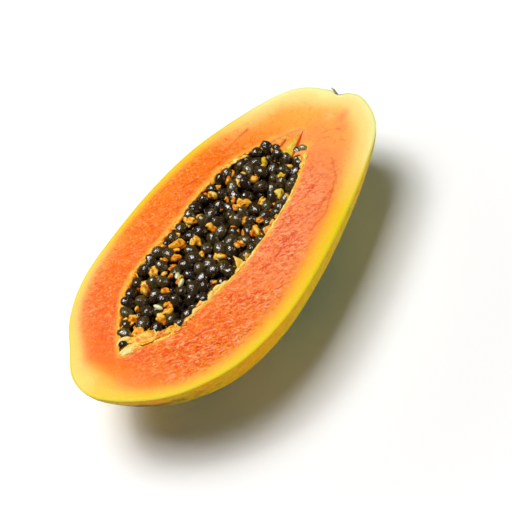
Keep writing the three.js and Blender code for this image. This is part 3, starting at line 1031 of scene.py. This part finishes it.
def lining_body():
    """The placenta's skin on the cavity wall, its torn edge lapping over the cut face."""
    turns = np.linspace(0, 1, LINING_COLUMNS, endpoint=False)
    edge = mouth_ring(turns)
    near = ease(-0.05, 0.45, -np.sin(2 * math.pi * turns))
    far = 1 - near
    stem = ease(44, 58, edge[:, 0])
    patchy = ease(-0.5, 0.4, noise(edge, 7, 80))
    tears = 0.3 * rough(edge, LINING_TEARS) * (0.4 + 0.6 * near)
    top = np.clip(rim_height(turns) * (0.2 + 0.25 * near * patchy) + tears, 0.02, 1.0)
    lap = (0.7 + 0.2 * near * patchy + 0.7 * far * patchy) * (1 - 0.8 * stem)
    lap = lap * (1 + 0.5 * noise(edge, 2.2, 83))
    reach = 0.3 + (0.35 * near + 1.3 * far) * (0.2 + patchy) * (1 + 0.9 * noise(edge, 1.5, 79))
    widths = {"none": 1, "lap": lap, "reach": reach}
    spread = 0.60 + 0.34 * near * (0.6 + 0.4 * patchy)
    rings, tints = [], []
    for index, (inset, widened, level, share, tint) in enumerate(LINING_ROWS):
        drawn = inset * widths[widened] + 0.18 * noise(edge, 1.2, 84 + index)
        height = level + share * top - 0.6 * stem + 0.14 * noise(edge, 0.9, 95 + index)
        rings.append(np.column_stack([drawn_in(edge, drawn[:, None]), height]))
        tints.append(tint * spread)
    faces = ring_faces(0, LINING_COLUMNS, len(rings))
    last = (len(rings) - 1) * LINING_COLUMNS
    for column in range(LINING_COLUMNS):
        after = (column + 1) % LINING_COLUMNS
        faces.append((last + column, last + after, after, column))
    return np.concatenate(rings), faces, np.concatenate(tints)


LARGE_LUMP = 1.6  # size from which a lump gets the finer ball
DIMPLE_PLACES = 7.7  # how far apart in the noise two lumps' dimples are read


def add_lump(shape, place, size, squash, heading, tint, key, olive=0.0):
    """A lump of placenta, irregular and dimpled, with painted light and shade: yellow on top and
    bulges.
    """
    unit, faces = FINE_BALL if size > LARGE_LUMP else COARSE_BALL
    places = unit + key * DIMPLE_PLACES
    swell = 0.22 + 0.30 * noise(places, 0.8, 91) - 0.6 * np.abs(noise(places, 0.7, 92))
    body = unit * np.array(squash) * size * (1 + swell)[:, None]
    # Painted highlight and shade: the tint rises on the bulges and towards the top, and falls in the
    # dimples.
    shape.add(turned(body, 0.5 * math.sin(key), heading, place), faces, olive=olive,
              tint=tint + 0.8 * swell + 0.25 * unit[:, 2])


SHARD_ROWS = 8
SHARD_SIDES = 10
SHARD_THICKNESS = 0.5


def add_shard(shape, start, end, tip, thickness, tint, key):
    """A thin torn flap of membrane that stands on a line from start to end and narrows to a tip."""
    start, end, tip = (np.array(point, float) for point in (start, end, tip))
    across = end - start
    foot = (start + end) / 2
    away = np.cross(across, tip - foot)
    away /= np.linalg.norm(away)
    angles = np.linspace(0, 2 * math.pi, SHARD_SIDES, endpoint=False)[:, None]
    rings = []
    for share in np.linspace(0, 1, SHARD_ROWS):
        centre = foot * (1 - share) + tip * share + away * 0.5 * math.sin(math.pi * share)
        half = across / 2 * (1 - 0.9 * share ** 0.7) * (1 + 0.25 * math.sin(5 * share + key))
        thick = away * thickness * (1 - 0.6 * share)
        rings.append(centre + np.cos(angles) * half + np.sin(angles) * thick)
    points, faces = closed_rings(rings)
    jags = np.column_stack([noise(points, 1.0, seed + key) for seed in (120, 140, 160)])
    shape.add(points + 0.12 * jags, faces, tint=tint)


# The tongue of placenta at the cavity's stem end: lines on the cut face where it is split.
TONGUE_SLIT = [(57.3, -0.7), (66, 1.6), (75.1, 3.9)]
TONGUE_SPLIT = [(58.5, 9.6), (62, 9.2), (67.6, 9.3)]
TONGUE_LAP = 1.9  # how far the tongue laps over the cut face
TONGUE_FAR_EDGE = ([50, 57, 68, 77], [22.0, 18.8, 12.4, 5.3])
TONGUE_NEAR_EDGE = ([50, 56, 67, 77], [-10.5, -8, -1, 4.7])
TONGUE_SPAN = (54, 77.2)  # from its torn front to the stem end of the cavity
TONGUE_STATIONS = 104
TONGUE_COLUMNS = 64
TONGUE_FLOOR = -10.0
TONGUE_FRONT_DROP = -5.5  # how low its front ends under the seeds


def groove(flat, line, half_width):
    """1 along a line of points, narrowing at both ends, and 0 away from it."""
    ends = np.array([line[0], line[-1]], float)
    share = np.clip((flat - ends[0]) @ (ends[1] - ends[0]) / np.sum((ends[1] - ends[0]) ** 2), 0, 1)
    width = half_width * (0.15 + np.sin(math.pi * share))
    return ridge(flat, line, width)


def tongue_body():
    """The tongue: an olive strip between a dark red slit and a dark split, and a flap at each side."""
    stations = np.linspace(*TONGUE_SPAN, TONGUE_STATIONS)
    share = np.linspace(0, 1, TONGUE_COLUMNS)[None, :]
    far = np.interp(stations, *TONGUE_FAR_EDGE)[:, None] + TONGUE_LAP
    near = np.interp(stations, *TONGUE_NEAR_EDGE)[:, None] - TONGUE_LAP
    y = near + (far - near) * share
    x = np.broadcast_to(stations[:, None], y.shape)
    flat = np.column_stack([x.ravel(), y.ravel()])
    x, y = flat[:, 0], flat[:, 1]
    border = (np.minimum(share, 1 - share) * (far - near)).ravel()

    # The slit, the split, and the strip between them.
    slit = groove(flat, TONGUE_SLIT, 0.9)
    split = groove(flat, TONGUE_SPLIT, 0.4)
    across = y - np.interp(x, (57, 66, 76), (-0.7, 1.6, 4.1))
    far_side = 8.5 - 0.48 * (x - 57) + 0.6 * noise(flat, 3, 106)
    strip = ease(0.3, 1.0, across) * (1 - ease(-2.4, 0, across - far_side))
    strip = strip * (1 - ease(67, 74, x))
    torn = 58.2 + 1.6 * noise(flat, 3, 103) - 0.12 * np.abs(y - 4)
    front = ease(-1.8, 0.8, x - torn)

    # Heights: a seam where it laps over the cut face, and fine ridges along the strip.
    level = -0.45 + 0.2 * ease(60, 70, x)
    seam = 0.52 * (1 - ease(1.8, 3.6, border)) - 0.32 * (1 - ease(0, 2.4, border))
    ridges = 0.10 * np.sin(2.6 * across + 0.5 * noise(flat, 5, 104)) * strip
    bumps = 0.3 * noise(flat, 2.2, 101) * (0.3 + 0.6 * strip) * ease(0.5, 2.5, border)
    top = rough(flat, FACE_SWELL) + level + seam + ridges + bumps - 0.6 * slit - 0.9 * split
    top = top * front + TONGUE_FRONT_DROP * (1 - front)
    tops = np.column_stack([flat, top]).reshape(TONGUE_STATIONS, TONGUE_COLUMNS, 3)
    floors = tops[:, ::-4] * (1, 1, 0) + (0, 0, TONGUE_FLOOR)
    points, faces = closed_rings(np.concatenate([tops, floors], axis=1))

    # Looks: tint, olive, slit and peach, with the floors in the near edge's.
    blend = 0.35 + 0.5 * (1 - ease(1.8, 3.4, border)) - 0.35 * strip
    blend = np.maximum(blend, 0.9 * ease(69, 75, x)) * (1 - slit)
    streaks = 0.75 + 0.25 * noise(flat * (0.4, 1), 1.6, 105)
    marks = np.column_stack([
        0.44 + 0.3 * strip + 0.15 * noise(flat, 3, 102),
        strip * ease(0.1, 0.7, front) * streaks,
        np.clip(slit + 0.8 * split, 0, 1),
        np.maximum(0.85 * (1 - ease(-1.5, -0.2, across)) * front, blend),
    ]).reshape(TONGUE_STATIONS, TONGUE_COLUMNS, 4)
    below = np.broadcast_to(marks[:, :1], (TONGUE_STATIONS, floors.shape[1], 4))
    marks = np.concatenate([marks, below], axis=1).reshape(-1, 4)
    return points, faces, np.concatenate([marks, marks[:1], marks[-1:]])


def strand(shape, start, end, rise, radius, tint):
    """A thin curved thread from wall to seed."""
    share = np.linspace(0, 1, 9)
    path = np.array(start) + (np.array(end) - np.array(start)) * share[:, None]
    path[:, 2] += rise * np.sin(math.pi * share)
    path[:, 0] += 0.4 * np.sin(math.pi * share)
    shape.add(*tube(path, radius * (1.2 - 0.7 * share)), tint=tint)


# Torn flaps of membrane: the two ends of the foot, the tip, and the tint.
SHARDS = [
    ((-17.5, -17.4, -0.6), (-11.5, -17.2, -0.6), (-12.6, -11.6, 1.7), 0.75),
    ((-10.5, -17.4, -0.4), (-6.5, -17.2, -0.4), (-9.4, -15.2, 1.0), 0.6),
    ((-71.0, -5.0, -0.6), (-67.5, -7.2, -0.6), (-67.2, -2.4, 1.4), 0.8),
    ((-62.0, -10.6, -0.4), (-58.0, -11.6, -0.4), (-59.2, -8.8, 0.8), 0.7),
    ((31.0, -15.4, -0.5), (35.0, -14.6, -0.5), (33.8, -12.0, 0.8), 0.5),
    ((56.0, -7.4, -0.6), (61.0, -5.4, -0.6), (58.4, -4.2, 0.6), 0.6),
    ((25.0, 28.6, -0.6), (30.5, 28.2, -0.6), (26.6, 25.4, 0.4), 0.6),
    ((-30.0, 29.4, -0.8), (-26.0, 29.4, -0.8), (-27.5, 26.6, 0.4), 0.4),
    ((-57.0, 25.0, -0.8), (-53.0, 26.8, -0.8), (-54.8, 23.6, 0.5), 0.45),
    ((39.0, 27.6, -0.4), (44.0, 25.4, -0.4), (41.2, 23.8, 0.7), 0.6),
    ((47.0, 24.0, -0.4), (51.0, 22.0, -0.4), (48.8, 21.2, 0.5), 0.55),
]

SHELF_HEADING = math.radians(-45)

# Soft tissue that lines the blossom end of the cavity: x, y and size.
SHELF = [
    (-84, 4.1, 1.5), (-81.8, 2.8, 1.9), (-79, 1.2, 2.0), (-79, 6.2, 2.0), (-76, -0.4, 2.1),
    (-74.5, 2.6, 2.3), (-73, -2.6, 2.1), (-71.5, 0.6, 2.2), (-70, -5, 2.2), (-67, -7.4, 2.1),
    (-64, -9.2, 2.0), (-60.5, -10.6, 1.8), (-56.5, -11.9, 1.5), (-52, -12.8, 1.3),
]
SHELF_SIZE = 1.15

# Torn tissue on the rim: x, y, size, heading in degrees and tint.
RIM_TISSUE = [
    (69.2, -2.1, 1.0, 35, 0.56), (65.2, -4.6, 1.2, 30, 0.46), (60.5, -6.6, 1.4, 25, 0.40),
    (55.4, -8.4, 1.3, 20, 0.52), (50.2, -10.4, 1.1, 22, 0.44), (20, -16.0, 1.0, 8, 0.34),
    (15.5, -16.2, 1.3, 8, 0.38), (11, -16.8, 1.5, 5, 0.26), (-13.5, -17.3, 1.3, -5, 0.42),
    (-17.5, -17.3, 1.2, -5, 0.50), (-27.5, -16.1, 1.5, -12, 0.40), (-32.5, -15.4, 1.8, -12, 0.50),
    (-37.5, -14.6, 1.9, -12, 0.44), (-42.5, -13.5, 1.7, -14, 0.38), (-47, -12.9, 1.4, -18, 0.48),
    (45.6, 22.9, 1.4, -30, 0.48), (41.6, 25.4, 1.7, -25, 0.58), (36.4, 26.9, 1.2, -15, 0.46),
    (24.5, 27.6, 1.2, -5, 0.38), (3, 29.0, 1.1, 0, 0.30), (-3.5, 28.8, 1.3, 0, 0.36),
    (-8, 28.6, 1.5, 5, 0.40), (-24, 28.6, 1.3, -5, 0.34), (-28.5, 28.8, 1.6, 5, 0.32),
    (-36, 28.8, 1.2, 10, 0.36),
]

TISSUE_LEVEL = -0.5  # of the shelf's and the rim's tissue, from the cut face
SCRAP_COUNT = 150  # places tried for scraps of placenta that show between the seeds
SCRAP_LEVEL = -3.8  # of the lowest
SCRAP_INSET = 3.0
THREAD_COUNT = 14
THREAD_SPAN = (0.03, 0.45)  # turns round the cavity's edge, on the far side
THREAD_RADIUS = 0.30
PALE_SEED_WIDTHS = (1.25, 1.15)


def add_lumps(shape, draw):
    """The placenta's lumps between the seeds, each with a smaller one at its side."""
    for key, (x, y, radius) in enumerate(LUMPS):
        tint = 0.22 + 0.25 * next(draw)
        olive = 0.7 * ease(15, 45, x)
        level = LUMP_LEVEL - 0.8 + heap_rise(y)
        heading = math.pi * next(draw)
        squash = (1.05 + 0.35 * next(draw), 0.65 + 0.25 * next(draw), 0.85)
        add_lump(shape, (x, y, level), radius * 0.92, squash, heading, tint, key, olive)
        angle = heading + 0.8 * next(draw)
        reach = radius * (0.6 + 0.4 * next(draw))
        place = (x + reach * math.cos(angle), y + reach * math.sin(angle), level + 0.5 - next(draw))
        squash = (0.8, 1.1 + 0.4 * next(draw), 0.7)
        size = radius * (0.45 + 0.2 * next(draw))
        add_lump(shape, place, size, squash, angle, tint + 0.12, 50 + key, olive)


def add_rim_tissue(shape, draw):
    """Tissue along the cavity's edge: a shelf at the blossom end, and torn bits along the sides."""
    for key, (x, y, size) in enumerate(SHELF):
        heading = SHELF_HEADING + 0.5 * next(draw)
        tint = 0.6 - 0.07 * min(key, 6) + 0.2 * next(draw)
        place = (x, y, TISSUE_LEVEL)
        add_lump(shape, place, SHELF_SIZE * size, (1.8, 1.0, 0.42), heading, tint, 200 + key)
    for key, (x, y, size, heading, tint) in enumerate(RIM_TISSUE):
        heading = math.radians(heading)
        add_lump(shape, (x, y, TISSUE_LEVEL), size, (1.8, 1.1, 0.45), heading, tint, 260 + key)


def add_scraps(shape):
    """Small scraps of placenta at random, a little below the seeds' tops."""
    draw = random_numbers(SCRAP_DRAW)
    for key in range(SCRAP_COUNT):
        x, y = random_place(draw)
        level = heap_rise(y) + SCRAP_LEVEL + 2.0 * next(draw)
        size, heading, tint = 1.2 + 0.8 * next(draw), math.pi * next(draw), 0.10 + 0.35 * next(draw)
        if x < TONGUE_START[0] - 4 and inside_mouth(x, y, SCRAP_INSET):
            add_lump(shape, (x, y, level), size, (1.4, 0.8, 0.9), heading, tint, 300 + key)


def add_threads(shape, draw):
    """Thin threads from the far wall to the seeds."""
    for turn in np.linspace(*THREAD_SPAN, THREAD_COUNT):
        edge = mouth_ring([turn + 0.006 * next(draw)], 0.3)[0]
        inner = mouth_ring([turn + 0.03 * (next(draw) - 0.5)], 3 + 2.5 * next(draw))[0]
        rise = 0.6 + next(draw)
        tint = 0.35 + 0.5 * next(draw)
        start, end = (*edge, -0.5 - next(draw)), (*inner, -1.4 - next(draw))
        strand(shape, start, end, rise, THREAD_RADIUS, tint)


def make_placenta(look, pale_look):
    shape = Shape("tint", "slit", "olive", "peach")
    points, faces, tint = lining_body()
    shape.add(points, faces, tint=tint)
    points, faces, marks = tongue_body()
    tint, olive, slit, peach = marks.T
    shape.add(points, faces, tint=tint, olive=olive, slit=slit, peach=peach)
    draw = random_numbers(LUMP_DRAW)
    add_lumps(shape, draw)
    add_rim_tissue(shape, draw)
    add_scraps(shape)
    for key, (start, end, tip, tint) in enumerate(SHARDS):
        add_shard(shape, start, end, tip, SHARD_THICKNESS, tint, key)
    add_threads(shape, draw)
    piece = shape.make("placenta_lining", [look])

    pale = Shape()
    unit, faces = ball(12, 14)
    for key, (*place, length) in enumerate(PALE_SEEDS):
        swell = 1 + 0.08 * noise(unit + key, 0.7, 111)[:, None]
        body = unit * (*PALE_SEED_WIDTHS, length / 2) * swell
        pale.add(turned(body, 0.5 + next(draw), 6 * next(draw), place), faces)
    pale_piece = pale.make("pale_seeds", [pale_look])
    for each in (piece, pale_piece):
        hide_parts("placenta")
        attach(each, "root")


FIBRE_COUNT = 5
FIBRE_ROWS = 6
FIBRE_RADII = (0.36, 0.12)


def make_stem_fibres(look):
    """Dry fibres that stand up at the stem scar."""
    shape = Shape()
    draw = random_numbers(FIBRE_DRAW)
    for index in range(FIBRE_COUNT):
        root = np.array([106.7 + 0.4 * next(draw), 0.2 + 0.4 * index, -0.8])
        tip = root + (1.2 + 1.2 * next(draw), 2.4 + 2.6 * next(draw), 2.4 + 1.0 * next(draw))
        path = root + (tip - root) * np.linspace(0, 1, FIBRE_ROWS)[:, None]
        shape.add(*tube(path, np.linspace(*FIBRE_RADII, FIBRE_ROWS)))
    piece = shape.make("stem_fibres", [look])
    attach(piece, "root")

# ---------------- floor, lights and camera

FLOOR_REACH = 12.0  # metres

# The floor's glows: where each starts and is full, in metres from the middle, and its strength.
FLOOR_GLOWS = [(0.11, 0.32, 0.30), (0.6, 1.4, 0.60)]


def floor_material():
    """A pale floor that glows a little away from the fruit, like the photo's white ground."""
    n = Nodes("studio_floor")
    shade = n.ramp(n.noise(400, 2), (0.3, 250, 250, 250), (0.7, 252, 252, 252))
    away = n.node("ShaderNodeVectorMath", {0: n.place}, operation="LENGTH").outputs["Value"]
    glow = 0.0
    for start, full, strength in FLOOR_GLOWS:
        glow = n.math("ADD", glow, n.range(away, start, full, 0.0, strength))
    return n.finish(shade, 0.6, Emission_Color=(1, 1, 1, 1), Emission_Strength=glow)


def make_floor():
    mesh = bpy.data.meshes.new("studio_floor")
    signs = ((-1, -1), (1, -1), (1, 1), (-1, 1))
    corners = [(x * FLOOR_REACH, y * FLOOR_REACH, 0) for x, y in signs]
    mesh.from_pydata(corners, [], [(0, 1, 2, 3)])
    mesh.materials.append(floor_material())
    floor = add_object("studio_floor", mesh)


LIGHTS_AIM = Vector((0, 0, 0.03))


def make_light(name, place, size, watts):
    """A square soft light, aimed at the fruit."""
    data = bpy.data.lights.new(name, "AREA")
    data.size = size
    data.energy = watts
    light = add_object(name, data)
    light.location = place
    light.rotation_euler = (LIGHTS_AIM - Vector(place)).to_track_quat("-Z", "Y").to_euler()


def make_world(strength):
    world = bpy.data.worlds.new("studio")
    world.use_nodes = True
    background = world.node_tree.nodes["Background"]
    background.inputs["Color"].default_value = (1, 1, 1, 1)
    background.inputs["Strength"].default_value = strength
    bpy.context.scene.world = world


def make_camera():
    data = bpy.data.cameras.new("camera")
    data.lens = CAMERA_LENS
    data.sensor_width = CAMERA_SENSOR
    camera = add_object("camera", data)
    cut_face = Vector((0, 0, CUT_FACE_Z))
    place = Vector(CAMERA_PLACE) / 1000 + cut_face
    target = Vector(CAMERA_TARGET) / 1000 + cut_face
    aim = (target - place).to_track_quat("-Z", "Y").to_matrix().to_4x4()
    camera.matrix_world = Matrix.Translation(place) @ aim @ Matrix.Rotation(CAMERA_ROLL, 4, "Z")
    bpy.context.scene.camera = camera


# Standard, because the default view transform greys the photo's bright yellow and orange.
bpy.context.scene.view_settings.view_transform = "Standard"
make_camera()
make_world(0.05)
make_light("key", (-0.10, 0.48, 1.34), 0.85, 21.2)
make_light("glint", (-0.16, 0.62, 1.26), 0.20, 2.0)
make_light("front", (0.72, -1.0, 0.20), 0.50, 3.6)
make_floor()
make_flesh(flesh_material(), skin_material())
make_seeds(seed_material())
make_placenta(placenta_material(), pale_seed_material())
make_stem_fibres(fibre_material())
